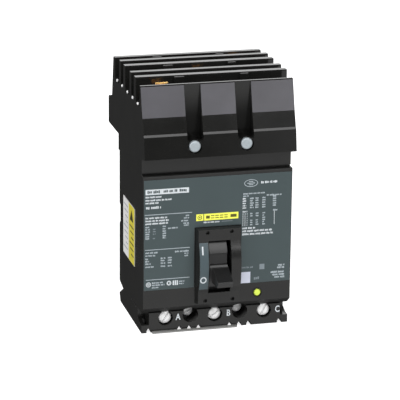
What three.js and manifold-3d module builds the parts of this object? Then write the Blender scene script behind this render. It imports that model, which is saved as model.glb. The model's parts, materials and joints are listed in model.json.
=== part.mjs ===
// Three-pole plug-on molded case breaker, line end up. Millimetres, +Z up, front faces -Y.
// Shapes are drawn in a drawing frame: y = 0 is the cover's front face, z = 0 its lower edge.
// The exported group is shifted so that the origin is the centre of the rear mounting face.
import * as THREE from 'three';
import { mergeVertices } from 'three/addons/utils/BufferGeometryUtils.js';
import Module from 'manifold-3d';

const wasm = await Module();
wasm.setup();

// ---------------------------------------------------------------- driving dimensions
const HALF_W = 56.6;            // half width of base and cover
const HOUSING_HALF_W = 57.3;    // half width of the plug-on housing
const BODY_D = 80.3;            // cover front to rear mounting face
const ORIGIN_Z = 50;            // drawing height of the rear face's centre
const BOTTOM_Z = -20;           // load end
const BODY_TOP = 117.2;         // line end of base and cover
const PART_Y = 40;              // parting line between cover and base
const COVER_BOTTOM = -4.2;
const WALL = 2.8;
const POLE_PITCH = 38.1;
const POLES = [['a', -POLE_PITCH], ['b', 0], ['c', POLE_PITCH]];
const BARRIER_X = POLE_PITCH / 2;
const HANDLE_PIVOT = [21.5, 32.3];      // (y, z)
const HANDLE_OFF_DEG = 14;              // handle hangs this far below level when off
const HANDLE_TRAVEL_DEG = 33;
const LEVER_R = 45;                     // pivot to lever tip
const LEVER_X = [-5.6, 6.1], SKIRT_X = [-7.9, 5.6];
const CROSSBAR = [58, 48];
const ARM_OPEN_DEG = 33;
const UPPER_LINK_PIVOT = [32, 62];
const KNEE = [43, 52];
const LINK_DRIVE_CLOSED = [50, 52];
const CRADLE_PIVOT = [24, 76];
const TRIP_BAR = [40, 26];
const TRIP_BUTTON = [31.1, 7.3];        // (x, z)
const LUG_SCREW_Z = -9.5;
const MOUNT_SCREW = [19.05, -8.1];      // (x, z)
const HOUSING_SCREW = [19.5, 125.5];
const BUS_Y = { a: 15.7, b: 50.1, c: 85.2 };    // bus bar centre planes
const JAW_X = { a: -38.3, b: 1.5, c: 39.5 };
const ARCH_R = 51.0, ARCH_C = [41.6, 31.8];     // barrel of the escutcheon
const ARCH_Z = [12, 51.6];
const STRIP_Z = [15.6, 51.3];           // extent of the position label on the barrel
const LUG_HOLE_R = 5.7, LUG_HEAD_R = 5;
const LUG_HEAD_Y = 7.2;                 // front of the lug screw heads
const NOTCH_X = [-51, -27.3, -19.7, -12.4, 11.7, 19, 26.3, 50.3];   // vent notches along the load end
const HOOK_CLEAR_Z = 113.2;             // the rear face is rebated above this, in front of the housing's hook

// ---------------------------------------------------------------- helpers
const rad = THREE.MathUtils.degToRad;

function toSolid(geometry) {
  let g = geometry.index ? geometry.toNonIndexed() : geometry.clone();
  for (const k of Object.keys(g.attributes)) if (k !== 'position') g.deleteAttribute(k);
  g = mergeVertices(g, 1e-5);
  const pos = g.attributes.position.array, idx = g.index.array;
  const tris = [];
  let vol = 0;
  for (let i = 0; i < idx.length; i += 3) {
    const [a, b, c] = [idx[i], idx[i + 1], idx[i + 2]];
    if (a === b || b === c || a === c) continue;
    tris.push(a, b, c);
    const A = new THREE.Vector3().fromArray(pos, a * 3), B = new THREE.Vector3().fromArray(pos, b * 3),
      C = new THREE.Vector3().fromArray(pos, c * 3);
    vol += A.dot(B.cross(C));
  }
  if (vol < 0) for (let i = 0; i < tris.length; i += 3) [tris[i], tris[i + 1]] = [tris[i + 1], tris[i]];
  return new wasm.Manifold(new wasm.Mesh({ numProp: 3, vertProperties: new Float32Array(pos), triVerts: new Uint32Array(tris) }));
}
const join = (...s) => s.flat().reduce((a, b) => a.add(b));
const cut = (a, ...s) => s.flat().reduce((p, q) => p.subtract(q), a);

function box(x0, x1, y0, y1, z0, z1) {
  return toSolid(new THREE.BoxGeometry(x1 - x0, y1 - y0, z1 - z0).translate((x0 + x1) / 2, (y0 + y1) / 2, (z0 + z1) / 2));
}
function shapeOf(pts) { return new THREE.Shape(pts.map(([a, b]) => new THREE.Vector2(a, b))); }
// profile in (y, z), swept along x
function sweepX(pts, x0, x1) {
  const g = new THREE.ExtrudeGeometry(shapeOf(pts), { depth: x1 - x0, bevelEnabled: false });
  g.applyMatrix4(new THREE.Matrix4().makeBasis(new THREE.Vector3(0, 1, 0), new THREE.Vector3(0, 0, 1), new THREE.Vector3(1, 0, 0)));
  return toSolid(g.translate(x0, 0, 0));
}
// profile in (x, z), swept along y
function sweepY(pts, y0, y1) {
  const g = new THREE.ExtrudeGeometry(shapeOf(pts), { depth: y1 - y0, bevelEnabled: false });
  g.applyMatrix4(new THREE.Matrix4().makeBasis(new THREE.Vector3(1, 0, 0), new THREE.Vector3(0, 0, 1), new THREE.Vector3(0, -1, 0)));
  return toSolid(g.translate(0, y1, 0));
}
function circle(cx, cy, r, n, from = 0) {
  return Array.from({ length: n }, (_, i) => [cx + r * Math.cos(from + i * 2 * Math.PI / n), cy + r * Math.sin(from + i * 2 * Math.PI / n)]);
}
const rodY = (x, z, r, y0, y1, n = 16) => sweepY(circle(x, z, r, n), y0, y1);
const rodX = (y, z, r, x0, x1, n = 14) => sweepX(circle(y, z, r, n), x0, x1);
function rodZ(x, y, r, z0, z1, n = 16) {
  return toSolid(new THREE.ExtrudeGeometry(shapeOf(circle(x, y, r, n)), { depth: z1 - z0, bevelEnabled: false }).translate(0, 0, z0));
}
// turned piece about an axis along y through (x, z); profile of [radius, y] from axis to axis
function turnedY(profile, x, z, n = 20) {
  return toSolid(new THREE.LatheGeometry(profile.map(([r, y]) => new THREE.Vector2(r, y)), n).translate(x, 0, z));
}
// pyramid frustum between two rectangles lying at y0 and y1
function taperY([ax0, ax1, az0, az1], y0, [bx0, bx1, bz0, bz1], y1) {
  const g = new THREE.BoxGeometry(2, 2, 2), p = g.attributes.position;
  for (let i = 0; i < p.count; i++) {
    const back = p.getY(i) > 0;
    const x = back ? (p.getX(i) > 0 ? bx1 : bx0) : (p.getX(i) > 0 ? ax1 : ax0);
    const z = back ? (p.getZ(i) > 0 ? bz1 : bz0) : (p.getZ(i) > 0 ? az1 : az0);
    p.setXYZ(i, x, back ? y1 : y0, z);
  }
  return toSolid(g);
}
// capsule-shaped plate between two (y, z) points
function linkPts(a, b, r, n = 6, ra = r) {
  const t = Math.atan2(b[1] - a[1], b[0] - a[0]), out = [];
  for (let i = 0; i <= n; i++) { const q = t - Math.PI / 2 + Math.PI * i / n; out.push([b[0] + r * Math.cos(q), b[1] + r * Math.sin(q)]); }
  for (let i = 0; i <= n; i++) { const q = t + Math.PI / 2 + Math.PI * i / n; out.push([a[0] + ra * Math.cos(q), a[1] + ra * Math.sin(q)]); }
  return out;
}
// turn a (y, z) point about a centre; positive takes +y towards +z
function turn([y, z], [cy, cz], deg) {
  const t = rad(deg), u = y - cy, v = z - cz;
  return [cy + u * Math.cos(t) - v * Math.sin(t), cz + u * Math.sin(t) + v * Math.cos(t)];
}
class Helix extends THREE.Curve {
  constructor(from, to, radius, turns, lead) {
    super(); this.a = new THREE.Vector3(...from); this.b = new THREE.Vector3(...to); this.r = radius; this.n = turns; this.lead = lead;
    this.w = this.b.clone().sub(this.a).normalize();
    this.u = new THREE.Vector3(1, 0, 0); this.v = this.w.clone().cross(this.u).normalize();
  }
  getPoint(t, out = new THREE.Vector3()) {
    const q = 2 * Math.PI * this.n * t;
    const f = this.lead > 0 ? Math.min(1, Math.min(t, 1 - t) / this.lead) : 1;
    return out.copy(this.a).lerp(this.b, t).addScaledVector(this.u, this.r * f * Math.cos(q)).addScaledVector(this.v, this.r * f * Math.sin(q));
  }
}
function coil(from, to, radius, wire, turns, perTurn, lead = 0) {
  return toSolid(new THREE.ExtrudeGeometry(shapeOf(circle(0, 0, wire, 5)), { extrudePath: new Helix(from, to, radius, turns, lead), steps: Math.round(turns * perTurn), bevelEnabled: false }));
}

// tapered notches, open at the bottom
const notches = (y0, y1) => NOTCH_X.map((x) => sweepY([[x - 1.7, -21], [x + 1.7, -21], [x + 1.7, -18.6], [x + 0.5, -16.5], [x - 0.5, -16.5], [x - 1.7, -18.6]], y0, y1));

const assembly = new THREE.Group();
assembly.position.set(0, -BODY_D, -ORIGIN_Z);
const groups = {};
function place(body, name, solid, colour, roughness, metalness) {
  const m = solid.getMesh();
  const g = new THREE.BufferGeometry();
  g.setAttribute('position', new THREE.BufferAttribute(new Float32Array(m.vertProperties), 3));
  g.setIndex(new THREE.BufferAttribute(new Uint32Array(m.triVerts), 1));
  g.computeVertexNormals();
  const mesh = new THREE.Mesh(g, new THREE.MeshStandardMaterial({ color: colour, roughness, metalness }));
  mesh.name = name;
  if (!groups[body]) { groups[body] = new THREE.Group(); groups[body].name = body + '_group'; assembly.add(groups[body]); }
  groups[body].add(mesh);
}
const BLACK = [0x2b2b2b, 0.55, 0], STEEL = [0xb4b8bb, 0.35, 0.9], ZINC = [0xd2d8dc, 0.3, 0.85], COPPER = [0xc98a55, 0.35, 0.9],
  ALU = [0xc4c8cb, 0.4, 0.85], DARKSTEEL = [0x6d7074, 0.45, 0.85], PHENOL = [0x4a3a32, 0.6, 0], FIBRE = [0xb9b3a4, 0.8, 0];

// ---------------------------------------------------------------- base
{
  let s = box(-HALF_W, HALF_W, PART_Y + 0.2, BODY_D, BOTTOM_Z, BODY_TOP);
  s = cut(s, box(-HALF_W + WALL, HALF_W - WALL, PART_Y - 1, 77, -17, BODY_TOP - 3.2));
  // load end: floor, front plate and short side walls reaching forward under the cover
  s = join(s,
    box(-HALF_W, HALF_W, 5, PART_Y + 0.5, BOTTOM_Z, -17),
    box(-HALF_W, HALF_W, 5, 8, BOTTOM_Z, -4.5),
    box(-HALF_W, -HALF_W + WALL, 5, PART_Y + 0.5, BOTTOM_Z, -4.5),
    box(HALF_W - WALL, HALF_W, 5, PART_Y + 0.5, BOTTOM_Z, -4.5));
  for (const sx of [-1, 1]) {
    const x = sx * BARRIER_X;
    // lining of the recess at each front corner of the load end
    s = join(s,
      box(sx > 0 ? 49.2 : -50.8, sx > 0 ? 50.8 : -49.2, 7, 19, -18, -4.5),
      box(sx > 0 ? 49.2 : -HALF_W + 1, sx > 0 ? HALF_W - 1 : -49.2, 17.4, 19, -18, -4.5));
    s = join(s,
      box(x - 1.25, x + 1.25, PART_Y + 0.2, 78, -18, BODY_TOP - 1),
      box(x - 7.2, x + 7.2, 7, PART_Y + 0.5, -18, -4.5),
      box(x - 5.6, x + 5.6, PART_Y + 0.2, 78, -18, 2.2),
      rodY(x, 106, 4.3, PART_Y + 0.2, 78, 12),
      box(sx > 0 ? 45.2 : -HALF_W + 1, sx > 0 ? HALF_W - 1 : -45.2, PART_Y + 0.2, 78, 1.7, 10.3));
  }
  s = join(s, box(-HALF_W, HALF_W, 62, BODY_D, BOTTOM_Z, -1));
  const drills = [];
  for (const sx of [-1, 1]) {
    const x = sx * MOUNT_SCREW[0];
    drills.push(rodY(x, MOUNT_SCREW[1], 6, 4, 18.9, 20), rodY(x, MOUNT_SCREW[1], 2.9, 18, 82, 12));
    drills.push(rodY(x, 106, 2.15, PART_Y - 1, 82, 10), rodY(x, 106, 3.6, 72, 82, 12));
    drills.push(rodY(sx * 49.5, 6, 2.15, PART_Y - 1, 82, 10), rodY(sx * 49.5, 6, 3.6, 72, 82, 12));
    // crossbar and trip bar pass through the pole barriers
    drills.push(rodX(CROSSBAR[0], CROSSBAR[1], 6.25, x - 6, x + 6, 16), box(x - 6, x + 6, PART_Y - 1, CROSSBAR[0], CROSSBAR[1] - 6.25, CROSSBAR[1] + 6.25));
    drills.push(box(x - 6, x + 6, PART_Y - 1, 47.5, 19, 33));
    // side notches of the load end, rear corner notches
    drills.push(sweepX([[4, -13.9], [10.3, -13.8], [17.4, -11.1], [17.4, -3], [4, -3]], sx > 0 ? 50.8 : -58, sx > 0 ? 58 : -50.8));
    drills.push(box(sx > 0 ? 52.5 : -58, sx > 0 ? 58 : -52.5, 77.3, 82, 44, 59));
  }
  for (const [, x] of POLES) {
    drills.push(rodY(x, LUG_SCREW_Z, LUG_HOLE_R, 4, 9, 24));                       // screwdriver access
    drills.push(box(x - 6.8, x + 6.8, 29.6, 42.6, BOTTOM_Z - 1, -16));       // wire entry
    drills.push(box(x - 6.6, x + 6.6, 64.8, 70.2, BODY_TOP - 4, BODY_TOP + 1)); // line conductor
  }
  drills.push(...notches(4, 14.6));
  drills.push(box(-58, 58, 79.4, 82, HOOK_CLEAR_Z, 118));
  drills.push(box(-49, 16.8, 4, 12.4, BOTTOM_Z - 1, -18.7));                 // pocket of the insulating card
  drills.push(sweepX([[81, -3.3], [67.5, -6.3], [81, -13.9]], -58, 58));     // rear hook groove
  drills.push(sweepX([[81, -13], [81, -21], [77.6, -21], [77.6, -19.6]], -58, 58));
  s = cut(s, drills);
  place('root', 'base', s, ...BLACK);
}

// ---------------------------------------------------------------- cover with escutcheon
function arch(r, from, to, n = 10) {
  const a0 = Math.asin((from - ARCH_C[1]) / ARCH_R), a1 = Math.asin((to - ARCH_C[1]) / ARCH_R), out = [];
  for (let i = 0; i <= n; i++) { const a = a0 + (a1 - a0) * i / n; out.push([ARCH_C[0] - r * Math.cos(a), ARCH_C[1] + r * Math.sin(a)]); }
  return out;
}
{
  let s = sweepX([[0, 1], [6.5, COVER_BOTTOM], [PART_Y - 0.1, COVER_BOTTOM], [PART_Y - 0.1, BODY_TOP], [5, BODY_TOP], [5, 104.1], [7, 104.1], [7, 103.1], [0.5, 103.1], [0, 102.6]], -HALF_W, HALF_W);
  s = cut(s, sweepX([[3, 2.4], [7.9, -1.4], [PART_Y + 1, -1.4], [PART_Y + 1, 114], [9.6, 114], [9.6, 100.3], [3, 100.3]], -HALF_W + WALL, HALF_W - WALL));
  for (const sx of [-1, 1]) {
    const x = sx * BARRIER_X;
    s = join(s,
      cut(sweepX([[2.5, 2], [PART_Y - 0.1, 2], [PART_Y - 0.1, 115], [8, 115], [8, 101.5], [2.5, 101.5]], x - 1.1, x + 1.1), box(x - 3, x + 3, 34, 41, 19, 33)),
      rodY(x, 106, 4.3, 9, PART_Y - 0.1, 12),
      box(sx > 0 ? 45.2 : -HALF_W + 1, sx > 0 ? HALF_W - 1 : -45.2, 2.5, PART_Y - 0.1, 1.7, 10.3),
      box(x - 5.5 + sx * 0.45, x + 5.5 + sx * 0.45, 14.6, 20, BODY_TOP - 1, 131));
  }
  s = join(s,
    taperY([-16, 16, 3.6, 61], -5.4, [-17.6, 17.6, 2.9, 61.7], 0.5),
    sweepX([...arch(ARCH_R, ...ARCH_Z), [-2, ARCH_Z[1]], [-2, ARCH_Z[0]]], -16, 16),
    box(25.5, 36.7, 15, 17, -2, 13));
  const drills = [
    box(-13, 13, -2.4, 4, 6, 58.6),
    box(-8.4, 8.4, -12, 4, ARCH_Z[0] - 0.2, ARCH_Z[1] + 0.6),
    rodY(TRIP_BUTTON[0], TRIP_BUTTON[1], 3.25, -1, 4, 20),
    rodY(TRIP_BUTTON[0], TRIP_BUTTON[1], 2.3, 14, 18, 12),
  ];
  for (const sx of [-1, 1]) {
    const x = sx * BARRIER_X;
    drills.push(rodY(x, MOUNT_SCREW[1], 6, -1, PART_Y + 1, 20));
    drills.push(rodY(x, 106, 1.9, 26, PART_Y + 1, 10), rodY(sx * 49.5, 6, 1.9, 26, PART_Y + 1, 10));
    drills.push(rodY(sx * HOUSING_SCREW[0], HOUSING_SCREW[1], 2.4, 14, 21, 12));
    drills.push(rodY(sx * 9.2, 58.8, 1.55, -6, -2.9, 12), rodY(sx * 10.5, 5.9, 1.55, -6, -2.9, 12));
  }
  s = cut(s, drills);
  place('root', 'cover', s, ...BLACK);
}

// ---------------------------------------------------------------- plug-on line housing
{
  const W = HOUSING_HALF_W;
  const comb = [
    [-7.3, 117.6], [-4.6, 133.9], [-3.45, 135.4], [0.4, 147], [6.4, 168.9], [7.2, 169.6], [9.2, 169.6],
    [9.2, 155], [10.6, 153.4], [20.8, 153.4], [22.2, 155],
    [22.2, 171.6], [22.9, 172.3], [28, 172.3], [28.7, 171.6],
    [28.7, 155], [29.7, 153.4], [36.1, 153.4], [37.1, 155],
    [37.1, 171.6], [37.8, 172.3], [42.2, 172.3], [42.9, 171.6],
    [42.9, 155], [44.3, 153.4], [55.9, 153.4], [57.3, 155],
    [57.3, 171.6], [58, 172.3], [63.1, 172.3], [63.8, 171.6],
    [63.8, 155], [64.8, 153.4], [71.2, 153.4], [72.2, 155],
    [72.2, 171.6], [72.9, 172.3], [77.3, 172.3], [78, 171.6],
    [78, 155], [79.4, 153.4], [91, 153.4], [92.4, 155],
    [92.4, 169.6], [93.1, 170.3], [97.8, 170.3], [98.5, 169.6],
    [103.5, 138.5], [115, 135.4], [116, 134.4], [116, 114.8], [115.2, 114], [80.8, 114], [80.8, 117.6]];
  let s = sweepX(comb, -W, W);
  const drills = [
    sweepX([[-3.6, 117], [-1.2, 133.5], [4.2, 146], [96.5, 146], [97, 138], [97, 118], [80.4, 118], [80.4, 117]], -W + 3.4, W - 3.4),
    sweepX([[101, 113], [101, 132], [112.5, 131], [112.5, 113]], -W + 4, W - 4),
  ];
  for (const [y0, y1] of [[9.2, 22.2], [28.7, 37.1], [42.9, 57.3], [63.8, 72.2], [78, 92.4]])
    drills.push(box(-50.6, 50.6, y0, y1, 149.2, 160));
  for (const [p, x] of POLES)
    drills.push(box(Math.min(JAW_X[p] - 5.6, x - 6.5), Math.max(JAW_X[p] + 5.6, x + 6.5), BUS_Y[p] - 6.4, BUS_Y[p] + 6.4, 145, 150));
    for (const sx of [-1, 1]) {
    const x = sx * 19.0, w = 6.1;
    const u = [[x - w, 176], [x - w, 131]];
    for (let i = 1; i < 6; i++) { const a = Math.PI + Math.PI * i / 6; u.push([x + w * Math.cos(a), 131 + 2 * Math.sin(a)]); }
    u.push([x + w, 131], [x + w, 176]);
    drills.push(sweepY(u, -12, 7.4));
    drills.push(rodY(sx * HOUSING_SCREW[0], HOUSING_SCREW[1], 5.3, -12, -3, 24));
  }
  s = cut(s, drills);
  s = join(s, box(-W + 1, W - 1, -6.2, 12, 117.6, 119.6));
  // web behind each channel so that the front wall stays closed, and the screw bosses
  const cheek = [[-2.8, 129], [8, 129], [8, 150], [3, 150], [2.2, 146], [-2.2, 134.5]];
  for (const sx of [-1, 1]) {
    const x = sx * 19.0;
    s = join(s, box(x - 7.6, x + 7.6, 7.4, 9.2, 129, 150),
      sweepX(cheek, x - 7.6, x - 6.1), sweepX(cheek, x + 6.1, x + 7.6),
      box(x - 6.3, x + 6.3, -3, 9.2, 119.5, 129.1));
    s = join(s, box(x - 6.3, x + 6.3, -2.9, 9.2, 128, 129.2));
    s = join(s, rodY(sx * HOUSING_SCREW[0], HOUSING_SCREW[1], 5.2, -3, 14.2, 16));
    s = cut(s, rodY(sx * HOUSING_SCREW[0], HOUSING_SCREW[1], 2.5, -4, 16, 12));
  }
  // small buttresses at the rear side of each phase slot
  for (const y of [22.2, 57.3, 92.4])
    for (const [x0, x1] of [[-28.6, -21.5], [21.2, 27.1]])
      s = join(s, sweepX([[y + 0.9, 150], [y - 2.4, 150], [y - 2.4, y > 90 ? 169 : 171], [y - 1.7, y > 90 ? 169.6 : 171.6], [y + 0.9, y > 90 ? 169.8 : 171.8]], x0, x1));
  // thin side skirts lapping over the body
  for (const sx of [-1, 1])
    s = join(s, sweepX([[-7.2, 117.7], [80.7, 101.3], [80.7, 118]], sx > 0 ? HALF_W + 0.15 : -W, sx > 0 ? W : -HALF_W - 0.15));
  place('root', 'line_housing', s, ...BLACK);
}

// ---------------------------------------------------------------- labels and insulating card
place('root', 'nameplate', sweepY([[-56.1, 15.4], [-17.9, 15.4], [-17.9, 62], [17.9, 62], [17.9, 15.4], [56.1, 15.4], [56.1, 100.4], [-56.1, 100.4]], -0.34, -0.04), 0x596366, 0.45, 0);
place('root', 'position_label', sweepX([...arch(ARCH_R + 0.28, ...STRIP_Z), ...arch(ARCH_R + 0.06, ...STRIP_Z).reverse()], -15.7, -9.1), 0x7d8f96, 0.45, 0);
place('root', 'side_label', box(-HALF_W - 0.32, -HALF_W - 0.04, 27.5, 65.5, 25, 70), 0xd8d8d8, 0.5, 0);
place('root', 'insulating_card', cut(box(-48.7, 16.5, 2, 12.1, -20, -18.95), notches(4.9, 14.6)), 0xa9a9a6, 0.6, 0);

// ---------------------------------------------------------------- handle (drawn level, hung at its off angle)
function hung(solidPtsFn) { return solidPtsFn((p) => turn([HANDLE_PIVOT[0] - p[0], HANDLE_PIVOT[1] + p[1]], HANDLE_PIVOT, HANDLE_OFF_DEG)); }
{
  const s = hung((at) => {
    const arc = (r, a0, a1, n) => Array.from({ length: n + 1 }, (_, i) => { const a = rad(a0 + (a1 - a0) * i / n); return [r * Math.cos(a), r * Math.sin(a)]; });
    const L = LEVER_R;
    const lever = [[8, -5], [26, -7], [L - 5.2, -1.9], [L - 1.9, -1.5], [L - 1, -0.7], [L, 2.9], [L - 0.7, 4], [L - 3.8, 4.8], [29, 7.5], [27, 7], [8, 4]];
    // skirt in two arcs with an open recess between them: a sloped back wall, and a ridge along its foot
    const upper = [...arc(30.6, 34.5, 66, 10), ...arc(27.6, 66, 34.5, 10)];
    const lower = [...arc(30.6, -66, 14.5, 24), ...arc(27.6, 14.5, -66, 24)];
    const wall = [[22, 8], [26.5, 8.9], [24.1, 16.3], [23.4, 17.6], [21.4, 16.4]];
    const ridge = [[24.5, 5.5], [28.2, 5.9], [29.4, 7.75], [28.3, 8.9], [27, 9.2], [24.5, 9.3]];
    return join(
      sweepX(upper.map(at), ...SKIRT_X), sweepX(lower.map(at), ...SKIRT_X),
      sweepX(wall.map(at), ...SKIRT_X), sweepX(ridge.map(at), ...SKIRT_X),
      sweepX(lever.map(at), ...LEVER_X),
      sweepX([[0, -3.6], [27, -8.5], [27, 6], [0, 3.6]].map(at), -3, 3),
      rodX(...HANDLE_PIVOT, 4.6, -6.8, 6.8, 16)).subtract(rodX(...HANDLE_PIVOT, 2.1, -9, 9, 12));
  });
  place('handle', 'handle', s, ...BLACK);
  const dir = (deg, r, off = 0) => { const a = rad(deg); return [HANDLE_PIVOT[0] - r * Math.cos(a) + off * Math.sin(a), HANDLE_PIVOT[1] + r * Math.sin(a) + off * Math.cos(a)]; };
  const yokePts = [dir(75, -8.2, -2), dir(75, -8.2, 2), dir(75, -1, 4.4), dir(75, 37, 2.8), dir(75, 40, 1.8), dir(75, 40, -1.8), dir(75, 37, -2.8), dir(75, -1, -4.4)];
  const bridge = [dir(75, -8.2, -2), dir(75, -6.4, -2), dir(75, -6.4, 2), dir(75, -8.2, 2)];
  const post = dir(75, 37.5);
  place('handle', 'handle_yoke', cut(join(sweepX(yokePts, -8.1, -7), sweepX(yokePts, 7, 8.1), sweepX(bridge, -7.5, 7.5),
    rodX(...post, 1.3, -11.8, -7.5, 10), rodX(...post, 1.3, 7.5, 11.8, 10)), rodX(...HANDLE_PIVOT, 2.1, -12, 12, 12)), ...DARKSTEEL);
  for (const [side, x] of [['left', -10.25], ['right', 10.25]]) {
    const A = dir(75, 35.6), K = [KNEE[0] + (A[0] - KNEE[0]) * 0.05, KNEE[1] + (A[1] - KNEE[1]) * 0.05];
    place('handle', 'main_spring_' + side, coil([x, K[0], K[1]], [x, A[0], A[1]], 1.55, 0.42, 11, 7, 0.06), ...STEEL);
  }
}

// ---------------------------------------------------------------- operating mechanism
{
  const plate = [[15, 26], [27, 26], [33, 37], [47, 59], [76.6, 59], [76.6, 80], [18, 82], [14, 60]];
  // side plates, rear web and the two riveted pivot pins
  place('root', 'mechanism_frame', join(sweepX(plate, -13.9, -12.7), sweepX(plate, 12.7, 13.9), box(-13.9, 13.9, 74.6, 76.6, 62, 78),
    rodX(...HANDLE_PIVOT, 1.9, -14.6, 14.6, 12), rodX(...CRADLE_PIVOT, 1.9, -14.6, 14.6, 12)), ...DARKSTEEL);
  const cradle = [[20.6, 76], [22, 79.2], [26, 79.2], [28, 76], [35, 61.5], [41.2, 48.5], [41.2, 43.4], [37.4, 43.4], [37.4, 44.9], [39.3, 44.9], [39.3, 48], [28.6, 60.6]];
  place('root', 'cradle', cut(join(sweepX(cradle, -1.4, 1.4), rodX(...UPPER_LINK_PIVOT, 1.4, -5.2, 5.2, 10)), rodX(...CRADLE_PIVOT, 2.1, -3, 3, 12)), ...STEEL);
  const knee = rodX(...KNEE, 1.3, -11.8, 11.8, 10);
  place('upper_link', 'knee_pin', knee, ...STEEL);
  for (const [side, x0, x1] of [['left', -4.4, -3.2], ['right', 3.2, 4.4]])
    place('upper_link', 'upper_link_' + side, cut(sweepX(linkPts(UPPER_LINK_PIVOT, KNEE, 2.9), x0, x1), rodX(...UPPER_LINK_PIVOT, 1.6, -12, 12, 12), rodX(...KNEE, 1.35, -12, 12, 12)), ...STEEL);
  const drive = turn(LINK_DRIVE_CLOSED, CROSSBAR, ARM_OPEN_DEG);
  for (const [side, x0, x1] of [['left', -6.2, -5], ['right', 5, 6.2]])
    place('lower_link', 'lower_link_' + side, cut(sweepX(linkPts(KNEE, drive, 2.5, 6, 3.7), x0, x1), rodX(...KNEE, 2.65, -12, 12, 12), rodX(...drive, 1.5, -12, 12, 12)), ...STEEL);
  // crossbar with drive ears and pin; the arms pass through it
  let bar = rodX(...CROSSBAR, 6, -50, 50, 20);
  const ear = linkPts(CROSSBAR, drive, 3.2);
  bar = join(bar, sweepX(ear, -8.4, -6.9), sweepX(ear, 6.9, 8.4), cut(rodX(...drive, 1.35, -8.4, 8.4, 10)));
  const armDir = (r, off) => turn([CROSSBAR[0] + off, CROSSBAR[1] + r], CROSSBAR, ARM_OPEN_DEG);
  for (const [p, x] of POLES) {
    bar = cut(bar, sweepX([armDir(-8, -2.9), armDir(-8, 2.9), armDir(9, 2.9), armDir(9, -2.9)], x - 3.15, x + 3.15));
    const arm = [[-7.6, -2.6], [-7.6, 2.6], [10, 2.6], [36, 2.2], [37, 3.7], [43, 3.7], [43, -1], [41.5, -2.4], [10, -2.6]];
    place('crossbar', 'contact_arm_' + p, sweepX(arm.map(([r, o]) => armDir(r, o)), x - 3, x + 3), ...COPPER);
  }
  place('crossbar', 'crossbar', bar, ...PHENOL);
}

// ---------------------------------------------------------------- one set per pole
const LINE_PATH = {
  a: [[66, 84], [69, 84], [69, 126], [17.2, 126], [17.2, 148], [14.2, 148], [14.2, 123], [66, 123]],
  b: [[66, 84], [69, 84], [69, 131], [51.6, 131], [51.6, 148], [48.6, 148], [48.6, 128], [66, 128]],
  c: [[66, 84], [69, 84], [69, 128], [86.7, 128], [86.7, 148], [83.7, 148], [83.7, 131], [66, 131]],
};
for (const [p, x] of POLES) {
  const jx = JAW_X[p], by = BUS_Y[p];
  place('root', 'line_conductor_' + p, join(sweepX(LINE_PATH[p], x - 6, x + 6), box(x - 3.5, x + 3.5, 62.2, 66.2, 86, 92)), ...COPPER);
  const finger = [[5.0, 148.3], [6.2, 148.3], [6.2, 154], [4.7, 161], [6.2, 167.6], [5.1, 168.2], [3.5, 161.2], [5.0, 153.8]];
  place('root', 'line_jaw_' + p, join(
    sweepX(finger.map(([o, z]) => [by + o, z]), jx - 4.6, jx + 4.6),
    sweepX(finger.map(([o, z]) => [by - o, z]).reverse(), jx - 4.6, jx + 4.6),
    box(jx - 4.6, jx + 4.6, by - 5.4, by + 5.4, 148.3, 149.7)), 0xd9a566, 0.3, 0.9);
  const chute = [box(x - 10, x - 9, 22, 60.4, 85.5, 113.6), box(x + 9, x + 10, 22, 60.4, 85.5, 113.6)];
  for (const y of [26, 31, 36, 41, 46, 51, 56]) chute.push(cut(box(x - 9.3, x + 9.3, y - 0.5, y + 0.5, 86, 110), box(x - 5, x + 5, y - 1, y + 1, 85, 97)));
  place('root', 'arc_chute_' + p, join(chute), ...FIBRE);
  place('root', 'load_conductor_' + p, sweepX([[46.3, -16.4], [48.8, -16.4], [48.8, 6], [53, 12], [53, 22], [50.5, 22], [50.5, 13], [46.3, 7]], x - 6, x + 6), ...COPPER);
  place('root', 'bimetal_' + p, sweepX([[48.9, 16], [50.2, 16], [50.2, 37], [48.9, 37]], x - 3.5, x + 3.5), 0xa79c86, 0.35, 0.9);
  place('root', 'magnet_' + p, join(box(x - 8, x + 8, 55, 57, 16, 29), box(x - 8, x - 6.4, 47.3, 56, 16, 29), box(x + 6.4, x + 8, 47.3, 56, 16, 29)), ...DARKSTEEL);
  place('root', 'lug_' + p, cut(box(x - 8, x + 8, 20, 46, -16.7, -4.8), rodZ(x, 36, 5.4, -18, -3, 20), rodY(x, LUG_SCREW_Z, 4.05, 18, 36, 16)), ...ALU);
  place('lug_screw_' + p, 'lug_screw_' + p, cut(turnedY([[0, LUG_HEAD_Y], [LUG_HEAD_R - 0.5, LUG_HEAD_Y], [LUG_HEAD_R, LUG_HEAD_Y + 0.5], [LUG_HEAD_R, LUG_HEAD_Y + 5], [3.8, LUG_HEAD_Y + 5], [3.8, 29.4], [2.6, 30.4], [0, 30.4]], x, LUG_SCREW_Z, 24), box(x - 6, x + 6, LUG_HEAD_Y - 1, LUG_HEAD_Y + 2.2, LUG_SCREW_Z - 0.8, LUG_SCREW_Z + 0.8)), ...ZINC);
}

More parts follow.
